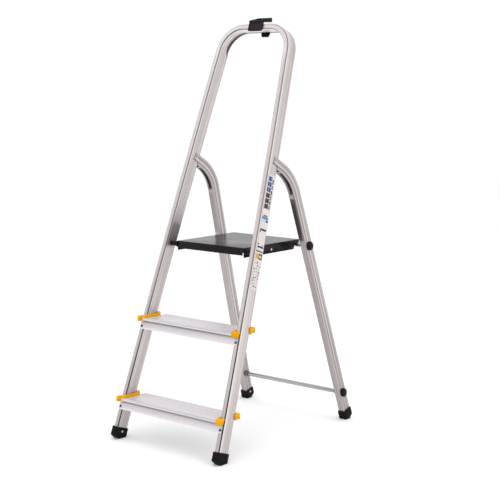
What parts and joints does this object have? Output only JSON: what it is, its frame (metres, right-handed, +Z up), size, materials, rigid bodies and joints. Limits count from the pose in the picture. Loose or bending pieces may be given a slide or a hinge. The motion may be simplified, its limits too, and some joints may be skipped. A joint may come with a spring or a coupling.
{
  "type": "step ladder",
  "caption": "Folding step ladder with grooved treads, a standing platform, a bent tube handrail and splayed rear legs.",
  "frame": {"origin": "centre of the footprint box of the open ladder, on the floor", "axes": "+X to the user's right when facing the treads, +Y from the treads towards the rear legs, +Z up"},
  "size_m": [0.4558, 0.6873, 1.3195],
  "materials": {
    "aluminium": "satin extruded, fine lengthwise ribs",
    "tread_aluminium": "bright satin, grooved on top",
    "black_steel": "semi-gloss black",
    "black_plastic": "satin",
    "yellow_plastic": "moulded, semi-gloss",
    "rubber": "matte",
    "chrome": "polished",
    "rivet": "formed heads, satin",
    "dark_rivet": "dark zinc",
    "label": "thin printed film"
  },
  "bodies": {
    "frame": {"front_frame": "aluminium", "lower_tread": "tread_aluminium", "upper_tread": "tread_aluminium", "lower_tread_cap_left": "yellow_plastic", "lower_tread_cap_right": "yellow_plastic", "upper_tread_cap_left": "yellow_plastic", "upper_tread_cap_right": "yellow_plastic", "lower_tread_rivet_left": "dark_rivet", "lower_tread_rivet_right": "dark_rivet", "upper_tread_rivet_left": "dark_rivet", "upper_tread_rivet_right": "dark_rivet", "front_boot_left": "rubber", "front_boot_right": "rubber", "front_boot_rivet_left": "rivet", "front_boot_rivet_right": "rivet", "leg_pivot_bush_left": "black_plastic", "leg_pivot_bush_right": "black_plastic", "platform_hinge_pin_left": "rivet", "platform_hinge_pin_right": "rivet", "tool_clip": "black_plastic", "tool_clip_catch": "black_plastic", "tool_clip_screw": "rivet", "label_strip": "label"},
    "rear_frame": {"rear_leg_left": "aluminium", "rear_leg_right": "aluminium", "upper_rear_rod": "chrome", "lower_rear_rod": "aluminium", "upper_rod_cap_left": "black_plastic", "upper_rod_cap_right": "black_plastic", "lower_rod_cap_left": "black_plastic", "lower_rod_cap_right": "black_plastic", "leg_pivot_rivet_left": "rivet", "leg_pivot_rivet_right": "rivet", "rear_boot_left": "rubber", "rear_boot_right": "rubber", "rear_boot_rivet_left": "rivet", "rear_boot_rivet_right": "rivet"},
    "platform": {"platform_deck": "black_steel", "platform_stiffener": "black_steel", "platform_side_rivet_left": "rivet", "platform_side_rivet_right": "rivet", "platform_hinge_bush_left": "black_plastic", "platform_hinge_bush_right": "black_plastic", "platform_rod_saddle_left": "black_plastic", "platform_rod_saddle_right": "black_plastic"}
  },
  "joints": [
    {"name": "rear_fold", "type": "hinge", "parent": "frame", "child": "rear_frame", "pos_m": [0, -0.00625, 0.8709], "axis": [-1, 0, 0], "range_deg": [0, 37]},
    {"name": "platform_tilt", "type": "hinge", "parent": "frame", "child": "platform", "pos_m": [0, -0.1105, 0.605], "axis": [1, 0, 0], "range_deg": [0, 72]}
  ],
  "couplings": [
    {"joint": "platform_tilt", "follows": "rear_fold", "ratio": 1.935}
  ]
}
